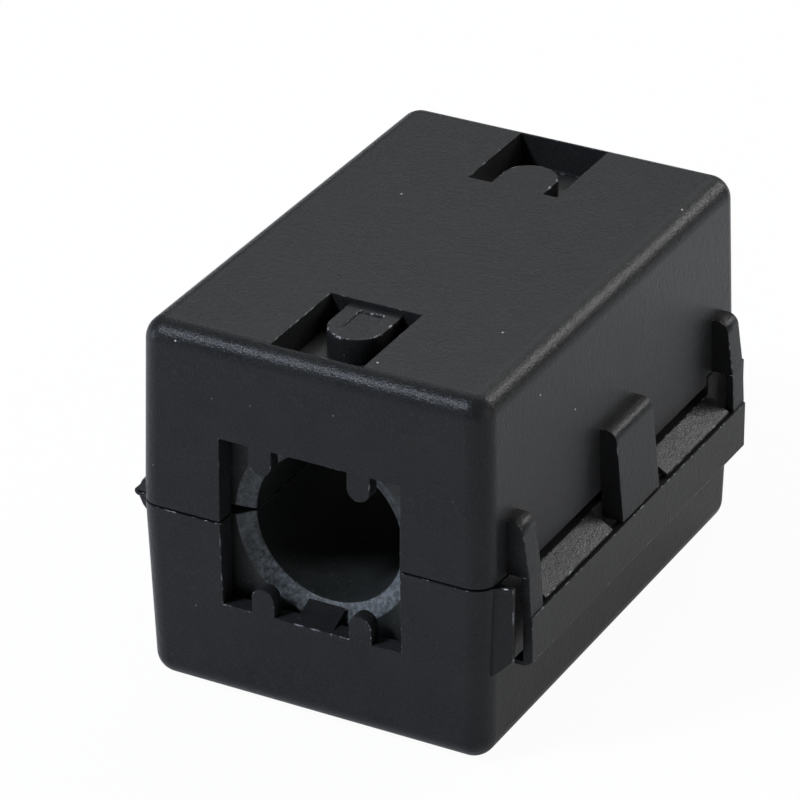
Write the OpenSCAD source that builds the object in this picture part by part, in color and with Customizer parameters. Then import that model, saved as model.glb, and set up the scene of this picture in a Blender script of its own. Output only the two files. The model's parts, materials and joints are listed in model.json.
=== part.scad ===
// Clip-on ferrite bead: a hinged two-part plastic case that snaps shut around a cable,
// with half a ferrite core in each part.
// The origin is on the cable axis, half way along, in the parting plane.
// +Y runs along the cable, +X points to the latch and +Z is up. Millimetres.

/* [Case] */
// Width of the case at the parting plane
case_w = 24; // [22:0.5:30]
// Length of the case at the parting plane
case_l = 35.2; // [32:0.2:44]
// Height of each half from the parting plane
half_h = 12.4; // [11.4:0.1:14]
// Draft of the outer walls in degrees
draft_deg = 1.4; // [0.5:0.1:2]
// Radius of the outer edges and corners
edge_r = 1.5; // [0.8:0.1:2]
// Thickness of the long side walls
side_wall = 1.5; // [1.2:0.1:2]
// Thickness of the end walls
end_wall = 1.4; // [1:0.1:1.6]
// Thickness of the roof and of the floor
roof = 2.1; // [1.6:0.1:2.4]
// Gap between the rims of the two halves
rim_gap = 0.16; // [0.1:0.02:0.3]

/* [Core] */
// Diameter of the cable bore through the core
bore_d = 10; // [8:0.2:11]
// Chamfer at each mouth of the bore, across the end of the core
mouth_chamfer = 1.1; // [0.8:0.1:1.4]
// Depth of that chamfer along the bore
mouth_depth = 0.65; // [0.5:0.05:1]
// Clearance beside the core in its pocket
core_clear = 0.15; // [0.1:0.05:0.3]
// Gap between the core and each end wall, where the hook stands
core_end_gap = 0.48; // [0.4:0.02:0.8]
// Gap between the two core halves
core_gap = 0.1; // [0.05:0.05:0.2]
// Chamfer along the outer edges of each core half
core_edge = 0.8; // [0.4:0.1:1.2]
// Chamfer along the mating edges of each core half
core_lip = 0.35; // [0.2:0.05:0.6]
// Chamfer across the mating faces at each end of a core half
core_notch = 0.28; // [0.1:0.02:0.4]

/* [End opening] */
// Width of the opening in each end wall
opening_w = 12.3; // [11.6:0.1:14]
// Height of the opening above the parting plane
opening_h = 5.75; // [5.4:0.05:6.6]
// Distance of each tooth from the middle of the opening
tooth_x = 3.35; // [2.8:0.05:3.6]
// Width of a tooth
tooth_w = 1.56; // [1.2:0.02:2]
// Clearance between the tooth tips and the bore
tooth_clear = 0.03; // [0.02:0.01:0.3]
// Thickness of the teeth along the cable
tooth_t = 1.05; // [0.8:0.05:1.1]
// Width of the hook that holds a core half
hook_w = 2.6; // [2:0.1:3.2]
// Clearance between the hook and the end of the core
hook_gap = 0.12; // [0.08:0.02:0.2]
// Reach of the hook's nose over the mouth of the bore
hook_reach = 0.35; // [0.2:0.05:0.4]
// Clearance of the hook's nose from the chamfered mouth
nose_clear = 0.1; // [0.08:0.01:0.2]
// Clearance of the hook from the bore
hook_clear = 0.05; // [0.03:0.01:0.2]
// Distance from the end face to the foot of the hook's slope
slope_in = 0.5; // [0.4:0.05:0.8]

/* [Windows] */
// Width of each window in the roof
window_w = 6.2; // [5.4:0.1:8]
// Length of each window
window_l = 7.3; // [6.6:0.1:8.2]
// Distance from the end face to a window
window_in = 1.4; // [1.1:0.1:2]
// Width of the spring tongue in a window
tongue_w = 3.7; // [3:0.1:4.6]
// Length of the spring tongue
tongue_l = 4.2; // [3.4:0.1:5.4]
// Depth of the tongue's face below the roof
tongue_drop = 0.37; // [0.2:0.01:0.6]
// Width of the gate recess in the tongue's face
gate_w = 1.55; // [1:0.05:2]
// Length of the gate recess
gate_l = 2.2; // [1.5:0.1:2.6]
// Distance from the tongue's root to the gate recess
gate_in = 0.6; // [0.4:0.1:1.2]
// Depth of the gate recess
gate_d = 0.13; // [0.08:0.01:0.3]

/* [Hinge] */
// Distance of the hinge axis from the side wall
hinge_out = 0.5; // [0.4:0.05:1.6]
// Distance from the end face to the hinge
hinge_in = 1.1; // [1:0.1:4]
// Thickness of the hinge film
film_t = 0.24; // [0.2:0.02:0.4]
// Gap inside the folded film
fold_gap = 0.08; // [0.06:0.02:0.2]
// Height of each hinge leaf at the wall
leaf_h = 1.15; // [0.8:0.05:1.6]
// Height of each hinge leaf half way out
leaf_mid = 0.85; // [0.6:0.05:1]

/* [Latch] */
// Height of the tabs above the parting plane
tab_top = 3.75; // [2.8:0.05:4.5]
// How far the tabs stand out at the top
tab_proud = 1.08; // [0.7:0.02:1.3]
// Extra reach of the tabs at the strap
tab_flare = 0.52; // [0.3:0.02:0.8]
// How far the legs bow out at the rim
leg_bow = 0.12; // [0:0.02:0.2]
// Radius along the top of the tabs
tab_round = 0.8; // [0.4:0.05:1]
// Width of the middle tab
mid_tab_w = 5.1; // [4:0.1:6.4]
// Width of each leg of the strap
leg_w = 1.6; // [1.4:0.05:2.4]
// Distance from the strap's end to a leg
leg_in = 0; // [0:0.05:0.8]
// Thickness of the legs
leg_t = 0.55; // [0.45:0.05:0.7]
// Thickness of the strap
strap_t = 0.65; // [0.5:0.05:0.8]
// Gap between the ramps and the strap below them
strap_clear = 0.12; // [0.06:0.02:0.3]
// Height of the strap's outer face
strap_h = 3.15; // [2.4:0.05:3.6]
// Height of the foot along the strap's lower edge
foot_h = 0.5; // [0.4:0.05:0.8]
// How far the foot reaches in from the strap
foot_reach = 0.6; // [0.3:0.05:0.8]
// How far the strap stands out from its legs
strap_lip = 0.1; // [0.05:0.05:0.2]
// Radius of the strap's lower corners
strap_round = 0.4; // [0.2:0.05:1]
// Distance from the end face to the strap's end
strap_in = 2.6; // [2.4:0.05:3.2]
// Depth of the ramps' top edge below the parting plane
ramp_top = 1.3; // [1:0.05:1.5]
// How far the ramps stand out from the wall
ramp_proud = 1.5; // [1.3:0.05:1.55]
// Height of a ramp's slope
ramp_h = 0.9; // [0.7:0.05:1.2]
// Height of the flat edge below a ramp's slope
ramp_land = 0.15; // [0.1:0.05:0.25]
// Gap between the ramps and the middle tab
ramp_side = 1.25; // [0.5:0.05:1.4]
// Gap between the ramps and the legs
ramp_end = 0.5; // [0.3:0.05:0.8]
// Height of the skirt that hangs from the upper wall above the ramps
skirt_h = 0.6; // [0.3:0.05:0.8]
// Thickness of the skirt
skirt_t = 0.65; // [0.4:0.05:0.7]
// Clearance around the skirt in the lower wall
skirt_clear = 0.2; // [0.15:0.05:0.3]
// How far the ears stand out from the wall
ear_proud = 1; // [0.7:0.05:1.4]
// Height of the ears before their sloped underside
ear_h = 5.1; // [4:0.1:6]
// Distance from the end face to an ear
ear_in = 1.05; // [0.9:0.05:1.4]
// Thickness of the ears at the wall
ear_t = 0.7; // [0.55:0.05:0.9]
// Thickness of the ears at their outer edge
ear_edge = 0.3; // [0.2:0.05:0.5]
// Gap between the middle tab and the strap, and between the tab and the lower wall
tab_gap = 0.1; // [0.08:0.02:0.3]

/* [Hidden] */
eps = 0.01;
sink = 0.3;
round_fn = 48;
bore_fn = 96;
draft = tan(draft_deg);
bore_r = bore_d / 2;
rim_z = rim_gap / 2;
side_x = case_w / 2;
end_y = case_l / 2;
wall_mid_x = side_x - side_wall / 2;
pocket_w = case_w - 2 * side_wall;
pocket_l = case_l - 2 * end_wall;
floor_z = half_h - roof;
core_w = pocket_w - 2 * core_clear;
core_l = pocket_l - 2 * core_end_gap;
core_y = core_l / 2;
tooth_r = tooth_w / 2;
tooth_z = sqrt(pow(bore_r + tooth_clear + tooth_r, 2) - pow(tooth_x, 2));
window_out_y = end_y - window_in;
window_in_y = window_out_y - window_l;
leg_out_y = end_y - strap_in - leg_in;
leg_in_y = leg_out_y - leg_w;
hinge_x = -(side_x + hinge_out);
hinge_l = case_l - 2 * hinge_in;
film_in_r = fold_gap / 2;
film_out_r = film_in_r + film_t;
ramp_low = ramp_top + ramp_h + ramp_land;
ramp_in_y = mid_tab_w / 2 + ramp_side;
ramp_out_y = leg_in_y - ramp_end;
strap_top = ramp_low + strap_clear;
tab_round_z = tab_top - tab_round;
black = [0.16, 0.16, 0.17];
ferrite = [0.33, 0.34, 0.36];

// Outer face of the tabs: leans out as it goes down to the strap
function tab_x(z) = side_x + tab_proud + tab_flare * (tab_round_z - z) / (tab_round_z + strap_top);

// Height of a circle of radius r about the bore at the side edges of the hook
function at_hook(r) = sqrt(r * r - hook_w * hook_w / 4);

// Sets a profile drawn in X and Z along Y, from y0 to y1
module along_y(y0, y1) {
    translate([0, y1, 0]) rotate([90, 0, 0]) linear_extrude(y1 - y0) children();
}

// Keeps its children and adds their mirror image at the other end of the cable
module both_ends() {
    children();
    mirror([0, 1, 0]) children();
}

// Drafted outer block of one half, rounded at its corners and at its top
module half_block() {
    top_z = half_h - edge_r * cos(180 / round_fn);
    inset = edge_r * sqrt(1 + draft * draft);
    hull() {
        for (sx = [-1, 1], sy = [-1, 1]) {
            translate([sx * (side_x - draft * top_z - inset), sy * (end_y - draft * top_z - inset), top_z])
                sphere(edge_r, $fn = round_fn);
            translate([sx * (side_x - draft * rim_z - inset), sy * (end_y - draft * rim_z - inset), rim_z])
                cylinder(h = eps, r = edge_r, $fn = round_fn);
        }
    }
}

// Outline of the end opening, with its two rounded teeth left standing
module opening_outline() {
    difference() {
        translate([-opening_w / 2, -half_h]) square([opening_w, half_h + opening_h]);
        for (sx = [-1, 1]) {
            translate([sx * tooth_x, tooth_z]) circle(tooth_r, $fn = bore_fn);
            translate([sx * tooth_x - tooth_r, tooth_z]) square([tooth_w, opening_h]);
        }
    }
}

// The same opening without its teeth, cut behind them
module inner_opening() {
    translate([-opening_w / 2, -half_h]) square([opening_w, half_h + opening_h]);
}

// Window cut through the roof at the +Y end
module window_cut() {
    translate([-window_w / 2, window_in_y, floor_z - eps]) cube([window_w, window_l, 2 * roof]);
}

// Round-nosed spring tongue that reaches into the window and bears on the core
module spring_tongue() {
    translate([0, 0, floor_z]) linear_extrude(roof - tongue_drop) {
        translate([0, window_in_y + tongue_l - tongue_w / 2]) circle(tongue_w / 2, $fn = bore_fn);
        translate([-tongue_w / 2, window_in_y - sink]) square([tongue_w, tongue_l - tongue_w / 2 + sink]);
    }
}

// Hook on the end wall: slopes up to the mouth of the bore and holds the core half in
module core_hook() {
    back_y = core_y + hook_gap;
    nose_y = core_y - hook_reach;
    slope_y = end_y - slope_in;
    tip_z = bore_r + hook_clear;
    nose_r = bore_r + mouth_chamfer * (1 - hook_reach / mouth_depth);
    back_r = nose_r + mouth_chamfer * (back_y - nose_y) / mouth_depth;
    translate([-hook_w / 2, 0, 0]) rotate([90, 0, 90]) linear_extrude(hook_w) polygon([
        [back_y, floor_z],
        [pocket_l / 2 + sink, floor_z],
        [pocket_l / 2 + sink, opening_h + sink],
        [slope_y, opening_h + sink],
        [slope_y, opening_h],
        [nose_y, tip_z],
        [nose_y, at_hook(nose_r) - nose_clear],
        [back_y, at_hook(back_r) - nose_clear],
    ]);
}

// What the two halves have in common, drawn as the upper one
module half_shell() {
    difference() {
        half_block();
        translate([-pocket_w / 2, -pocket_l / 2, -eps]) cube([pocket_w, pocket_l, floor_z + eps]);
        along_y(-case_l, case_l) opening_outline();
        along_y(-end_y + tooth_t, end_y - tooth_t) inner_opening();
        both_ends() window_cut();
    }
    both_ends() {
        spring_tongue();
        core_hook();
    }
}

// Tapered leaf that joins one half to the hinge film
module hinge_leaf() {
    along_y(-hinge_l / 2, hinge_l / 2) polygon([
        [-wall_mid_x, rim_z],
        [-wall_mid_x, leaf_h],
        [-side_x, leaf_h],
        [-side_x - hinge_out / 2, leaf_mid],
        [hinge_x, film_out_r],
        [hinge_x, film_in_r],
    ]);
}

// Round-topped tab on the latch side of the upper half, down to the rim
module tab(y0, y1, bow) {
    round_x = tab_x(tab_round_z) - tab_round;
    along_y(y0, y1) {
        polygon([
            [wall_mid_x, rim_z],
            [wall_mid_x, tab_top],
            [round_x, tab_top],
            [tab_x(tab_round_z), tab_round_z],
            [tab_x(rim_z) + bow, rim_z],
        ]);
        translate([round_x, tab_round_z]) circle(tab_round, $fn = bore_fn);
    }
}

// Middle tab: hangs past the rim and stops just above the strap
module middle_tab() {
    low_z = -strap_top + tab_gap;
    tab(-mid_tab_w / 2, mid_tab_w / 2, 0);
    along_y(-mid_tab_w / 2, mid_tab_w / 2) polygon([
        [side_x + tab_gap, low_z],
        [side_x + tab_gap, -skirt_h],
        [side_x - skirt_t / 2, -skirt_h],
        [side_x - skirt_t / 2, rim_z + sink],
        [tab_x(rim_z + sink), rim_z + sink],
        [tab_x(low_z), low_z],
    ]);
}

// Skirt of the upper wall that reaches down into the relief above the ramps
module skirt() {
    half_l = ramp_out_y - skirt_clear;
    rim_x = side_x - draft * rim_z;
    along_y(-half_l, half_l) polygon([
        [side_x - skirt_t, -skirt_h],
        [rim_x, -skirt_h],
        [rim_x, rim_z],
        [side_x - skirt_t / 2, rim_z + sink],
        [side_x - skirt_t, rim_z + sink],
    ]);
}

// Snap ramp on the latch side of the lower half
module ramp(y0, y1) {
    along_y(y0, y1) polygon([
        [wall_mid_x, -ramp_top],
        [side_x, -ramp_top],
        [side_x + ramp_proud, -ramp_top - ramp_h],
        [side_x + ramp_proud, -ramp_low],
        [wall_mid_x, -ramp_low],
    ]);
}

// Ear beside the end of the strap: a rib with a slanted front and a sloped underside
module ear() {
    out_x = side_x + ear_proud;
    root_y = end_y - ear_in;
    intersection() {
        along_y(root_y - ear_t, root_y) polygon([
            [wall_mid_x, -rim_z],
            [out_x, -rim_z],
            [out_x, -ear_h],
            [wall_mid_x, -ear_h - out_x + wall_mid_x],
        ]);
        translate([0, 0, -half_h]) linear_extrude(half_h) polygon([
            [wall_mid_x, root_y - ear_t],
            [out_x, root_y - ear_t],
            [out_x, root_y - ear_t + ear_edge],
            [side_x, root_y],
            [wall_mid_x, root_y],
        ]);
    }
}

module lower_shell() {
    relief_x = side_x - skirt_t - skirt_clear;
    color(black) {
        difference() {
            mirror([0, 0, 1]) half_shell();
            translate([relief_x, -ramp_out_y, -ramp_top]) cube([case_w, 2 * ramp_out_y, ramp_top]);
        }
        mirror([0, 0, 1]) hinge_leaf();
        both_ends() {
            ramp(ramp_in_y, ramp_out_y);
            ear();
        }
    }
}

module upper_shell() {
    color(black) {
        difference() {
            half_shell();
            translate([-gate_w / 2, -window_in_y - gate_in - gate_l, half_h - tongue_drop - gate_d])
                cube([gate_w, gate_l, tongue_drop]);
        }
        hinge_leaf();
        middle_tab();
        skirt();
        both_ends() tab(leg_in_y, leg_out_y, leg_bow);
    }
}

// Thin film that folds between the two hinge leaves
module hinge_film() {
    color(black) along_y(-hinge_l / 2, hinge_l / 2) difference() {
        translate([hinge_x, 0]) circle(film_out_r, $fn = bore_fn);
        translate([hinge_x, 0]) circle(film_in_r, $fn = bore_fn);
        translate([hinge_x, -film_out_r]) square(2 * film_out_r);
    }
}

// Outline of the strap in Y and Z, from the foot up, with rounded lower corners
module strap_outline() {
    half_l = end_y - strap_in;
    low_z = -strap_top - strap_h - foot_h;
    translate([-half_l, low_z + strap_round]) square([2 * half_l, -low_z - strap_round]);
    translate([-half_l + strap_round, low_z]) square([2 * (half_l - strap_round), -low_z]);
    for (sy = [-1, 1]) {
        translate([sy * (half_l - strap_round), low_z + strap_round]) circle(strap_round, $fn = round_fn);
    }
}

// Legs and strap that hang from the upper half and snap under the ramps
module latch_strap() {
    strap_x = tab_x(-strap_top) + strap_lip;
    low_z = -strap_top - strap_h;
    color(black) {
        both_ends() along_y(leg_in_y, leg_out_y) polygon([
            [tab_x(rim_z) + leg_bow - leg_t, rim_z],
            [tab_x(rim_z) + leg_bow, rim_z],
            [tab_x(-strap_top), -strap_top],
            [tab_x(-strap_top), -strap_top - sink],
            [strap_x - strap_t, -strap_top - sink],
            [strap_x - strap_t, -strap_top],
        ]);
        intersection() {
            along_y(-end_y, end_y) polygon([
                [strap_x, -strap_top],
                [strap_x, low_z],
                [strap_x - strap_t, low_z - foot_h],
                [strap_x - strap_t - foot_reach, low_z - foot_h],
                [strap_x - strap_t - foot_reach, low_z],
                [strap_x - strap_t, low_z],
                [strap_x - strap_t, -strap_top],
            ]);
            rotate([90, 0, 90]) linear_extrude(case_w) strap_outline();
        }
    }
}

// One core half, drawn as the upper one
module half_core() {
    low_z = core_gap / 2;
    difference() {
        along_y(-core_y, core_y) polygon([
            [-core_w / 2 + core_lip, low_z],
            [core_w / 2 - core_lip, low_z],
            [core_w / 2, low_z + core_lip],
            [core_w / 2, floor_z - core_edge],
            [core_w / 2 - core_edge, floor_z],
            [-core_w / 2 + core_edge, floor_z],
            [-core_w / 2, floor_z - core_edge],
            [-core_w / 2, low_z + core_lip],
        ]);
        rotate([90, 0, 0]) cylinder(h = case_l, r = bore_r, center = true, $fn = bore_fn);
        both_ends() {
            translate([0, core_y + eps, 0]) rotate([90, 0, 0])
                cylinder(h = mouth_depth, r1 = bore_r + mouth_chamfer, r2 = bore_r, $fn = bore_fn);
            translate([-core_w, 0, 0]) rotate([90, 0, 90]) linear_extrude(2 * core_w) polygon([
                [core_y - mouth_depth, low_z - eps],
                [core_y + eps, low_z - eps],
                [core_y + eps, low_z + core_notch],
            ]);
        }
    }
}

module lower_core() {
    color(ferrite) mirror([0, 0, 1]) half_core();
}

module upper_core() {
    color(ferrite) half_core();
}

lower_shell();
upper_shell();
hinge_film();
latch_strap();
lower_core();
upper_core();
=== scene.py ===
import json
import math
import bmesh
import bpy
from mathutils import Matrix, Vector


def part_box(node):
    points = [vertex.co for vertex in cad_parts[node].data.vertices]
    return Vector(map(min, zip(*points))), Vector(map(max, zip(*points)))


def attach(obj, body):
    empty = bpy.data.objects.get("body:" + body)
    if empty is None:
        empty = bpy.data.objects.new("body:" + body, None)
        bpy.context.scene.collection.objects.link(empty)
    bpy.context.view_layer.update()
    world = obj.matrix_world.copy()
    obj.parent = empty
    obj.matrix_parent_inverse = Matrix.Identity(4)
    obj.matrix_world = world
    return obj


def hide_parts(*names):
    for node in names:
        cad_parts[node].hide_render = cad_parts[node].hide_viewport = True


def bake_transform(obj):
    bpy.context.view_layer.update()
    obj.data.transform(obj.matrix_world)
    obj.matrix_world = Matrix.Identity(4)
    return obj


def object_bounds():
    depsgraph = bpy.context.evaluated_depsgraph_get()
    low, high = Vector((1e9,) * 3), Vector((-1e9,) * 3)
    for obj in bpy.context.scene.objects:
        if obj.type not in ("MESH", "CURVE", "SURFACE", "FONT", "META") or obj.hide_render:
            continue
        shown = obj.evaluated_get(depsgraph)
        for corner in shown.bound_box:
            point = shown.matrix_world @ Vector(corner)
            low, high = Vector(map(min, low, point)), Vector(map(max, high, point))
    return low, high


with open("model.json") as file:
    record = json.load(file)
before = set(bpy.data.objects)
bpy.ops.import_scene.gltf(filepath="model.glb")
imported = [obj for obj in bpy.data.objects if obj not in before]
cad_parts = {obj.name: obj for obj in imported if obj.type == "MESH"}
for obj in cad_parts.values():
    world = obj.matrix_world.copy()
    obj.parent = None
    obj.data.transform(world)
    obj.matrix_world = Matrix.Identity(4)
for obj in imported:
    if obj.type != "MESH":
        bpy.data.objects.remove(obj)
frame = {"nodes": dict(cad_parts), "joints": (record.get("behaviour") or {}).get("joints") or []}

cadBox = [list(corner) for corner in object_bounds()]
scene = bpy.context.scene
scene.view_settings.view_transform = "Standard"
print("frame loaded:", ", ".join(sorted(frame["nodes"])))

mmPerMetre = 1000


def metres(millimetres):
    return millimetres / mmPerMetre


# Scale of a pattern whose real size is given
def perMetre(millimetres):
    return mmPerMetre / millimetres


# sRGB hex value to a linear colour
def linearColour(hexText):
    channels = [int(hexText[i:i + 2], 16) / 255 for i in (1, 3, 5)]
    return [c / 12.92 if c <= 0.04045 else ((c + 0.055) / 1.055) ** 2.4 for c in channels] + [1.0]


# Adds one shader node: values go on its sockets, links come from other nodes' outputs
def addNode(tree, kind, values=None, links=None, **settings):
    node = tree.nodes.new("ShaderNode" + kind)
    for name, value in settings.items():
        setattr(node, name, value)
    for socket, value in (values or {}).items():
        node.inputs[socket].default_value = value
    for socket, source in (links or {}).items():
        tree.links.new(source, node.inputs[socket])
    return node


def newMaterial(name):
    material = bpy.data.materials.new(name)
    material.use_nodes = True
    material.node_tree.nodes.clear()
    return material, material.node_tree


# Glass-filled nylon, injection moulded in a spark-eroded tool: matt black with a fine grain that
# sparkles where a rounded edge catches the light, torn flash on its edges, a painted highlight
# along the tongue rims and the strap's edges, and a few specks of dust
caseNylon = {
    "dark": "#191a1c",
    "light": "#272726",
    "speckle": "#2b2b2d",
    # light colour of the flash, also a painted highlight on the tongue rims and the strap's edges
    "flashAndHighlight": "#c4c6c8",
    "dust": "#b9b7b0",
    "ior": 1.5,
    "specular": 0.13,
    "roughness": (0.24, 0.37),
    "grainMm": 0.13,               # real grain is finer, drawn coarser to show
    "grainDepthMm": 0.029,
    "speckleRange": (0.50, 0.72),  # heights of the grain over which the speckle comes in
    "mottleMm": 2.6,
    "flashAndHighlightMm": 0.6,
    "flashAndHighlightRange": (0.54, 0.64),    # narrow, so that the flash and the painted highlight have torn ends
    "dustSpacingMm": 2.2,
    "dustRadiusMm": 0.085,
    "dustCore": 0.6,               # share of a speck's radius that is solid
    "dustLimit": 0.4,              # cells with a random grey below this hold a speck
    "peelMm": 0.5,
    "peelDepthMm": 0.022,          # the noise uses only about a fifth of this height
    "slidGrain": 0.4,              # share of the grain left where the strap slides
}


def makeCaseNylon(look):
    material, tree = newMaterial("mouldedBlackNylon")
    place = addNode(tree, "TexCoord").outputs["Object"]
    grain = addNode(tree, "TexNoise",
                    {"Scale": perMetre(look["grainMm"]), "Detail": 2.0, "Roughness": 0.55},
                    {"Vector": place})
    mottle = addNode(tree, "TexNoise",
                     {"Scale": perMetre(look["mottleMm"]), "Detail": 6.0, "Roughness": 0.65},
                     {"Vector": place})
    base = addNode(tree, "MixRGB",
                   {"Color1": linearColour(look["dark"]), "Color2": linearColour(look["light"])},
                   {"Fac": mottle.outputs["Fac"]})
    # Fine light speckle of the glass filling at the skin
    low, high = look["speckleRange"]
    peaks = addNode(tree, "MapRange", {"From Min": low, "From Max": high}, {"Value": grain.outputs["Fac"]})
    speckled = addNode(tree, "MixRGB", {"Color2": linearColour(look["speckle"])},
                       {"Fac": peaks.outputs["Result"], "Color1": base.outputs["Color"]})
    # Torn flash left by the tool on moulded edges, which carry the edge attribute; on the tongue rims and
    # the strap's edges this light colour is a painted highlight
    edge = addNode(tree, "Attribute", attribute_name="edge")
    ragged = addNode(tree, "TexNoise",
                     {"Scale": perMetre(look["flashAndHighlightMm"]), "Detail": 4.0, "Roughness": 0.7},
                     {"Vector": place})
    low, high = look["flashAndHighlightRange"]
    torn = addNode(tree, "MapRange", {"From Min": low, "From Max": high}, {"Value": ragged.outputs["Fac"]})
    tornFlashAndHighlight = addNode(tree, "Math", {}, {0: torn.outputs["Result"], 1: edge.outputs["Fac"]},
                       operation="MULTIPLY")
    edged = addNode(tree, "MixRGB", {"Color2": linearColour(look["flashAndHighlight"])},
                    {"Fac": tornFlashAndHighlight.outputs["Value"], "Color1": speckled.outputs["Color"]})
    # Dust: one speck in some cells of a coarse cell pattern
    cells = addNode(tree, "TexVoronoi", {"Scale": perMetre(look["dustSpacingMm"])}, {"Vector": place})
    radius = look["dustRadiusMm"] / look["dustSpacingMm"]
    speck = addNode(tree, "MapRange", {"From Min": radius, "From Max": radius * look["dustCore"]},
                    {"Value": cells.outputs["Distance"]})
    chosen = addNode(tree, "Math", {1: look["dustLimit"]}, {0: cells.outputs["Color"]},
                     operation="LESS_THAN")
    dust = addNode(tree, "Math", {}, {0: speck.outputs["Result"], 1: chosen.outputs["Value"]},
                   operation="MULTIPLY")
    dusty = addNode(tree, "MixRGB", {"Color2": linearColour(look["dust"])},
                    {"Fac": dust.outputs["Value"], "Color1": edged.outputs["Color"]})
    low, high = look["roughness"]
    rough = addNode(tree, "MapRange", {"To Min": low, "To Max": high}, {"Value": mottle.outputs["Fac"]})
    # The skin of the tool: a soft unevenness under the fine grain
    peel = addNode(tree, "TexNoise",
                   {"Scale": perMetre(look["peelMm"]), "Detail": 3.0, "Roughness": 0.6},
                   {"Vector": place})
    uneven = addNode(tree, "Bump", {"Strength": 1.0, "Distance": metres(look["peelDepthMm"])},
                     {"Height": peel.outputs["Fac"]})
    # Less grain on the ramps that the strap rubs, which carry the slid attribute
    slid = addNode(tree, "Attribute", attribute_name="slid")
    grainLeft = addNode(tree, "MapRange", {"To Min": 1.0, "To Max": look["slidGrain"]},
                        {"Value": slid.outputs["Fac"]})
    bump = addNode(tree, "Bump", {"Distance": metres(look["grainDepthMm"])},
                   {"Strength": grainLeft.outputs["Result"], "Height": grain.outputs["Fac"],
                    "Normal": uneven.outputs["Normal"]})
    shader = addNode(tree, "BsdfPrincipled", {"IOR": look["ior"], "Specular IOR Level": look["specular"]},
                     {"Base Color": dusty.outputs["Color"], "Roughness": rough.outputs["Result"],
                      "Normal": bump.outputs["Normal"]})
    addNode(tree, "OutputMaterial", {}, {"Surface": shader.outputs["BSDF"]})
    return material


# Nickel-zinc ferrite, pressed and sintered: a dark grey ceramic with bright crystal specks and a
# dry, slightly rough skin
sinteredFerrite = {
    "dark": "#171917",
    "light": "#252725",
    "crystal": "#6a737d",
    # painted highlight on the bore's chamfers, rubbed wear on the edges
    "rubbedAndHighlight": "#676d72",
    "ior": 1.9,
    "specular": 0.2,
    "roughness": (0.42, 0.62),
    "grainMm": 0.14,               # real grains are finer, drawn coarser to show
    "grainDepthMm": 0.012,
    "crystalRange": (0.62, 0.80),  # heights of the grain over which the crystals come in
    "cloudMm": 1.6,
    "rubAndHighlightMm": 0.35,
    "rubAndHighlightRange": (0.40, 0.68),      # wide, so that the rubbing and the painted highlight are patchy with soft ends
}


def makeSinteredFerrite(look):
    material, tree = newMaterial("sinteredFerrite")
    place = addNode(tree, "TexCoord").outputs["Object"]
    grain = addNode(tree, "TexNoise",
                    {"Scale": perMetre(look["grainMm"]), "Detail": 3.0, "Roughness": 0.65},
                    {"Vector": place})
    cloud = addNode(tree, "TexNoise",
                    {"Scale": perMetre(look["cloudMm"]), "Detail": 4.0, "Roughness": 0.6},
                    {"Vector": place})
    base = addNode(tree, "MixRGB",
                   {"Color1": linearColour(look["dark"]), "Color2": linearColour(look["light"])},
                   {"Fac": cloud.outputs["Fac"]})
    low, high = look["crystalRange"]
    peaks = addNode(tree, "MapRange", {"From Min": low, "From Max": high}, {"Value": grain.outputs["Fac"]})
    specked = addNode(tree, "MixRGB", {"Color2": linearColour(look["crystal"])},
                      {"Fac": peaks.outputs["Result"], "Color1": base.outputs["Color"]})
    # Lighter on the chamfers of the bore, a painted highlight, and rubbed lighter on the edges; both carry
    # the edge attribute
    edge = addNode(tree, "Attribute", attribute_name="edge")
    patchy = addNode(tree, "TexNoise",
                     {"Scale": perMetre(look["rubAndHighlightMm"]), "Detail": 5.0, "Roughness": 0.7},
                     {"Vector": place})
    low, high = look["rubAndHighlightRange"]
    rubAndHighlight = addNode(tree, "MapRange", {"From Min": low, "From Max": high}, {"Value": patchy.outputs["Fac"]})
    rubbedAndHighlitEdge = addNode(tree, "Math", {}, {0: rubAndHighlight.outputs["Result"], 1: edge.outputs["Fac"]},
                         operation="MULTIPLY")
    rubbedAndHighlight = addNode(tree, "MixRGB", {"Color2": linearColour(look["rubbedAndHighlight"])},
                     {"Fac": rubbedAndHighlitEdge.outputs["Value"], "Color1": specked.outputs["Color"]})
    low, high = look["roughness"]
    rough = addNode(tree, "MapRange", {"To Min": low, "To Max": high}, {"Value": cloud.outputs["Fac"]})
    bump = addNode(tree, "Bump", {"Strength": 1.0, "Distance": metres(look["grainDepthMm"])},
                   {"Height": grain.outputs["Fac"]})
    shader = addNode(tree, "BsdfPrincipled", {"IOR": look["ior"], "Specular IOR Level": look["specular"]},
                     {"Base Color": rubbedAndHighlight.outputs["Color"], "Roughness": rough.outputs["Result"],
                      "Normal": bump.outputs["Normal"]})
    addNode(tree, "OutputMaterial", {}, {"Surface": shader.outputs["BSDF"]})
    return material


slotMaterials = {"case_plastic": makeCaseNylon(caseNylon), "ferrite": makeSinteredFerrite(sinteredFerrite)}
print("materials made")

# How edges are found, broken and shaded
softEdges = {
    "mergeMm": 0.002,
    "flatDegrees": 0.4,    # triangles that meet flatter than this become one face
    "sharpDegrees": 25,    # outer edges sharper than this are broken
    "segments": 2,
    "shadeDegrees": 40,    # shading breaks at corners sharper than this
    "faceWeight": 90,      # how far large faces outweigh small ones in the shading
}


# Gives a mesh smooth shading that breaks at its corners
def smoothFaces(bm):
    bm.normal_update()
    for face in bm.faces:
        face.smooth = True
    for edge in bm.edges:
        edge.smooth = edge.calc_face_angle(math.pi) < math.radians(softEdges["shadeDegrees"])


# Keeps the large faces flat under that shading
def keepFlat(piece):
    weighted = piece.modifiers.new("flatFaces", "WEIGHTED_NORMAL")
    weighted.keep_sharp = True
    weighted.weight = softEdges["faceWeight"]


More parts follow.
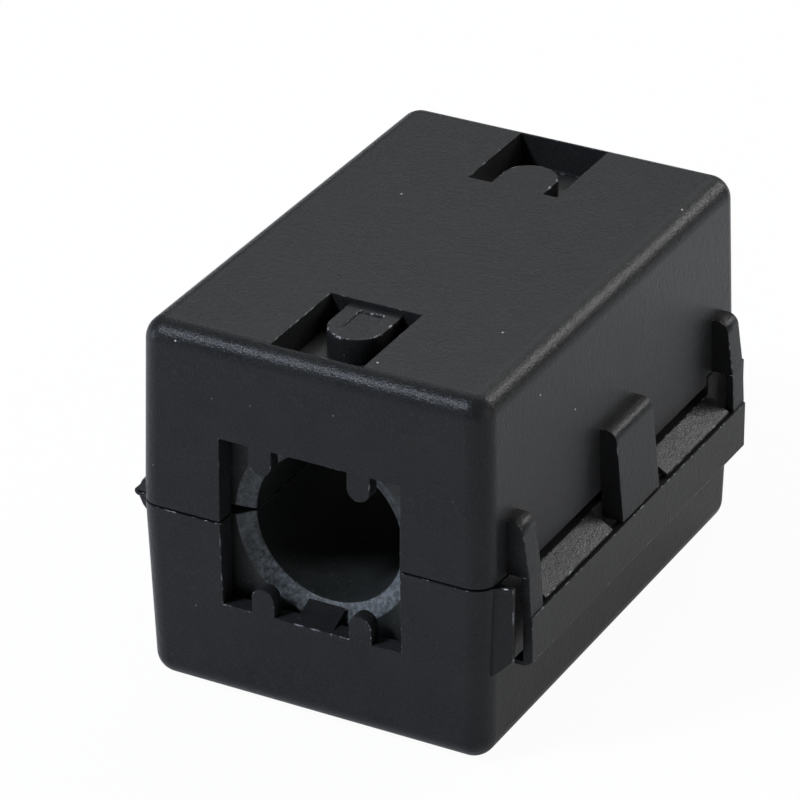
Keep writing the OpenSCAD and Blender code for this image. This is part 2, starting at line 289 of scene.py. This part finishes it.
def newPiece(name, bm, material):
    mesh = bpy.data.meshes.new(name)
    bm.to_mesh(mesh)
    bm.free()
    piece = bpy.data.objects.new(name, mesh)
    scene.collection.objects.link(piece)
    mesh.materials.append(material)
    return piece


# Copies of the solids with their sharp edges broken, as moulding leaves the case and tumbling the cores
softened = {
    "lower_shell": {"name": "lowerCase", "body": "lower", "slot": "case_plastic", "edgeMm": 0.06},
    "upper_shell": {"name": "upperCase", "body": "upper", "slot": "case_plastic", "edgeMm": 0.06},
    "latch_strap": {"name": "latchStrap", "body": "latch", "slot": "case_plastic", "edgeMm": 0.055},
    "lower_core": {"name": "lowerCore", "body": "lower", "slot": "ferrite", "edgeMm": 0.06},
    "upper_core": {"name": "upperCore", "body": "upper", "slot": "ferrite", "edgeMm": 0.06},
}
# The legs run on into the tabs above them, so their edges at the rim stay unbroken
legRoot = {"xMm": 12.2, "yMm": (13.0, 15.2), "zMm": (0.05, 0.11)}


def atLegRoot(at):
    nearY, farY = legRoot["yMm"]
    low, high = legRoot["zMm"]
    return at.x > legRoot["xMm"] and nearY < abs(at.y) < farY and low < at.z < high


# The rims of the spring tongues are worn rounder than the other edges, the gate recess a little less
tongueRim = {
    "zMm": 12.03,
    "withinMm": 0.02,
    "xMm": 1.9,
    "gateXMm": 0.9,
    "noseYMm": 12.2,
    "edgeMm": 0.12,
    "gateEdgeMm": 0.10,
}


def nearTongue(at, withinMm):
    return abs(abs(at.z) - tongueRim["zMm"]) < withinMm and abs(at.x) < tongueRim["xMm"]


def onTongue(at):
    return nearTongue(at, tongueRim["withinMm"])


def atTongueRim(at):
    return onTongue(at) and (abs(at.x) > tongueRim["gateXMm"] or abs(at.y) > tongueRim["noseYMm"])


# How much torn flash an edge carries, and on the tongues and the strap painted highlight: most at the rims,
# then on the tongues and the strap, then round the end openings
edgeMarkPlaces = {
    "rim": 1.0, "rimMm": 0.3,
    "tongue": 0.6, "tongueMm": 0.15,
    "strap": 0.5, "strapXMm": 12.9, "strapFacing": 0.1,
    "opening": 0.35, "openingXMm": 6.4, "openingYMm": 15.9, "openingZMm": 6.0, "openingFacing": 0.4,
    "other": 0.25,
}


def edgeMarkShare(at, facing):
    places = edgeMarkPlaces
    if abs(at.z) < places["rimMm"]:
        return places["rim"]
    # The tongue rims and the strap's edges get a painted highlight
    if nearTongue(at, places["tongueMm"]):
        return places["tongue"]
    if at.x > places["strapXMm"] and at.z < 0 and abs(facing.y) < places["strapFacing"]:
        return places["strap"]
    inOpening = abs(at.x) < places["openingXMm"] and abs(at.z) < places["openingZMm"]
    atEnd = abs(at.y) > places["openingYMm"] and abs(facing.x) < places["openingFacing"]
    return places["opening" if inOpening and atEnd else "other"]


# Chamfers at the mouths of the bore, which get a painted highlight
mouthHighlight = {"reachMm": 6.4, "endYMm": 14.9, "facing": (0.3, 0.98), "share": 0.8}


def mouthHighlightShare(at, facing):
    low, high = mouthHighlight["facing"]
    atMouth = math.hypot(at.x, at.z) < mouthHighlight["reachMm"] and abs(at.y) > mouthHighlight["endYMm"]
    return mouthHighlight["share"] if atMouth and low < abs(facing.y) < high else 0.0


# Sloped faces of the ramps, outside the lower wall and below its rim
ramps = {"xMm": 12.0, "zMm": (-2.3, -1.2), "facing": 0.25}


def onRamp(at, facing):
    low, high = ramps["zMm"]
    inPlace = at.x > ramps["xMm"] and low < at.z < high
    return inPlace and min(facing.x, facing.z) > ramps["facing"] > abs(facing.y)


def isSharp(edge):
    return edge.is_convex and edge.calc_face_angle() > math.radians(softEdges["sharpDegrees"])


# Whether both ends of an edge lie in a place, which is asked in millimetres
def liesIn(edge, place):
    return all(place(vert.co * mmPerMetre) for vert in edge.verts)


def middleMm(face):
    return face.calc_center_median() * mmPerMetre


def breakEdges(bm, edges, widthMm, edgeLayer):
    broken = bmesh.ops.bevel(bm, geom=edges, offset=metres(widthMm), offset_type="OFFSET", affect="EDGES",
                             segments=softEdges["segments"], profile=0.5, material=-1, clamp_overlap=False)
    for face in broken["faces"]:
        face[edgeLayer] = edgeMarkShare(middleMm(face), face.normal)


for node, look in softened.items():
    bm = bmesh.new()
    bm.from_mesh(frame["nodes"][node].data)
    edgeLayer = bm.faces.layers.float.new("edge")
    slidLayer = bm.faces.layers.float.new("slid")
    bmesh.ops.remove_doubles(bm, verts=bm.verts, dist=metres(softEdges["mergeMm"]))
    bmesh.ops.dissolve_limit(bm, angle_limit=math.radians(softEdges["flatDegrees"]), verts=bm.verts,
                             edges=bm.edges)
    sharp = [e for e in bm.edges if isSharp(e) and not liesIn(e, atLegRoot)]
    rim = [e for e in sharp if liesIn(e, atTongueRim)]
    gate = [e for e in sharp if e not in rim and liesIn(e, onTongue)]
    others = [e for e in sharp if e not in rim + gate]
    breakEdges(bm, rim, tongueRim["edgeMm"], edgeLayer)
    breakEdges(bm, gate, tongueRim["gateEdgeMm"], edgeLayer)
    breakEdges(bm, others, look["edgeMm"], edgeLayer)
    # A painted highlight on the mouths of the bore, and less grain on the ramps under the strap
    if look["slot"] == "ferrite":
        for face in bm.faces:
            face[edgeLayer] = max(face[edgeLayer], mouthHighlightShare(middleMm(face), face.normal))
    if node == "lower_shell":
        for face in bm.faces:
            face[slidLayer] = float(onRamp(middleMm(face), face.normal))
    smoothFaces(bm)
    piece = newPiece(look["name"], bm, slotMaterials[look["slot"]])
    keepFlat(piece)
    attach(piece, look["body"])
    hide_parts(node)
    print(look["name"], "edges broken:", len(sharp), "faces:", len(piece.data.polygons))

# Living hinge: the thin film that folds between the two leaves, spun about the hinge axis
hingeFilm = {"thicknessMm": 0.24, "steps": 20}

filmLow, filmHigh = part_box("hinge_film")
hingeAxis = Vector(next(j["pos_m"] for j in frame["joints"] if j["name"] == "lid_hinge"))
outerRadius = filmHigh.z
innerRadius = outerRadius - metres(hingeFilm["thicknessMm"])
bm = bmesh.new()
corners = [
    (filmLow.y, innerRadius),
    (filmLow.y, outerRadius),
    (filmHigh.y, outerRadius),
    (filmHigh.y, innerRadius),
]
bm.faces.new([bm.verts.new((hingeAxis.x, y, -radius)) for y, radius in corners])
bmesh.ops.spin(bm, geom=bm.verts[:] + bm.edges[:] + bm.faces[:], cent=hingeAxis, axis=(0, 1, 0),
               angle=math.pi, steps=hingeFilm["steps"])
bmesh.ops.remove_doubles(bm, verts=bm.verts, dist=metres(softEdges["mergeMm"]))
bmesh.ops.recalc_face_normals(bm, faces=bm.faces)
smoothFaces(bm)
film = newPiece("hingeFilm", bm, slotMaterials["case_plastic"])
keepFlat(film)
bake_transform(film)
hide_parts("hinge_film")
print("hinge film spun:", len(film.data.polygons), "faces")


# Share of plain white that a ray meets: most for the camera and through glass, a little in reflections
def whiteToRays(tree, look):
    rays = addNode(tree, "LightPath").outputs
    seen = addNode(tree, "Math", {}, {0: rays["Is Camera Ray"], 1: rays["Is Transmission Ray"]},
                   operation="MAXIMUM")
    direct = addNode(tree, "Math", {1: look["whiteShare"]}, {0: seen.outputs["Value"]},
                     operation="MULTIPLY")
    mirrored = addNode(tree, "Math", {1: look["mirroredShare"]}, {0: rays["Is Glossy Ray"]},
                       operation="MULTIPLY")
    share = addNode(tree, "Math", {}, {0: direct.outputs["Value"], 1: mirrored.outputs["Value"]},
                    operation="MAXIMUM")
    return share.outputs["Value"]


# White paper under the part, which keeps its shadow
floorLook = {"sizeM": 4.0, "gapMm": 0.02, "colour": "#ececec", "whiteShare": 0.955, "mirroredShare": 0.2}


def makeFloorPaper(look):
    material, tree = newMaterial("whiteStudioPaper")
    paper = addNode(tree, "BsdfDiffuse", {"Color": linearColour(look["colour"])})
    white = addNode(tree, "Emission", {"Strength": 1.0})
    mix = addNode(tree, "MixShader", {}, {0: whiteToRays(tree, look), 1: paper.outputs["BSDF"],
                                          2: white.outputs["Emission"]})
    addNode(tree, "OutputMaterial", {}, {"Surface": mix.outputs["Shader"]})
    return material


floorZ = cadBox[0][2] - metres(floorLook["gapMm"])
bm = bmesh.new()
bmesh.ops.create_grid(bm, x_segments=1, y_segments=1, size=floorLook["sizeM"] / 2)
bmesh.ops.translate(bm, verts=bm.verts, vec=(0, 0, floorZ))
newPiece("studioFloor", bm, makeFloorPaper(floorLook))

# A dim room that lights the part, white behind it for the camera
roomLook = {
    "colour": "#f4f6f8",
    "strength": 0.10,
    "backdrop": "#ffffff",
    "whiteShare": 1.0,
    "mirroredShare": 0.03,
}


def makeRoom(look):
    world = bpy.data.worlds.new("studioRoom")
    world.use_nodes = True
    tree = world.node_tree
    tree.nodes.clear()
    room = addNode(tree, "Background", {"Color": linearColour(look["colour"]), "Strength": look["strength"]})
    backdrop = addNode(tree, "Background", {"Color": linearColour(look["backdrop"]), "Strength": 1.0})
    mix = addNode(tree, "MixShader", {}, {0: whiteToRays(tree, look), 1: room.outputs["Background"],
                                          2: backdrop.outputs["Background"]})
    addNode(tree, "OutputWorld", {}, {"Surface": mix.outputs["Shader"]})
    return world


scene.world = makeRoom(roomLook)

# Square soft boxes, in metres and watts, all turned to the part
softBoxes = {
    "overheadBox": {"at": (-0.12, 0.36, 0.45), "size": 0.45, "watts": 1.2, "colour": "#ffffff"},
    "frontHighBox": {"at": (-0.246, -0.320, 0.440), "size": 0.10, "watts": 2.8, "colour": "#e6f0ff"},
    "leftBox": {"at": (-0.55, -0.25, 0.09), "size": 0.20, "watts": 1.15, "colour": "#dce8ff"},
    "backRightBox": {"at": (0.26, 0.48, 0.29), "size": 0.21, "watts": 1.5, "colour": "#ffffff"},
    "rightFillBox": {"at": (0.55, 0.02, 0.14), "size": 0.30, "watts": 0.7, "colour": "#ffffff"},
}
for name, look in softBoxes.items():
    lamp = bpy.data.lights.new(name, "AREA")
    lamp.shape = "SQUARE"
    lamp.size = look["size"]
    lamp.energy = look["watts"]
    lamp.color = linearColour(look["colour"])[:3]
    box = bpy.data.objects.new(name, lamp)
    scene.collection.objects.link(box)
    box.location = look["at"]
    box.rotation_euler = (-Vector(look["at"])).to_track_quat("-Z", "Y").to_euler()
print("floor, room and lights set")

# Camera at the photograph's angle: a long lens, from the right and above; angles in degrees
photoCamera = {
    "eye": (0.124516, -0.234568, 0.147431),
    "azimuth": 28.5842,
    "elevation": 28.7886,
    "roll": -0.48,
    "focalPixels": 4859.55,
    "imagePixels": 800,
    "sensorMm": 36.0,
}


def makeCamera(look):
    azimuth, elevation, roll = (math.radians(look[k]) for k in ("azimuth", "elevation", "roll"))
    back = Vector((math.cos(elevation) * math.sin(azimuth), -math.cos(elevation) * math.cos(azimuth),
                   math.sin(elevation)))
    level = Vector((math.cos(azimuth), math.sin(azimuth), 0))
    upright = back.cross(level)
    right = level * math.cos(roll) + upright * math.sin(roll)
    up = upright * math.cos(roll) - level * math.sin(roll)
    data = bpy.data.cameras.new("photoCamera")
    data.sensor_width = look["sensorMm"]
    data.lens = look["focalPixels"] * look["sensorMm"] / look["imagePixels"]
    camera = bpy.data.objects.new("photoCamera", data)
    scene.collection.objects.link(camera)
    camera.matrix_world = Matrix.Translation(look["eye"]) @ Matrix((right, up, back)).transposed().to_4x4()
    return camera


scene.camera = makeCamera(photoCamera)
print("camera set")
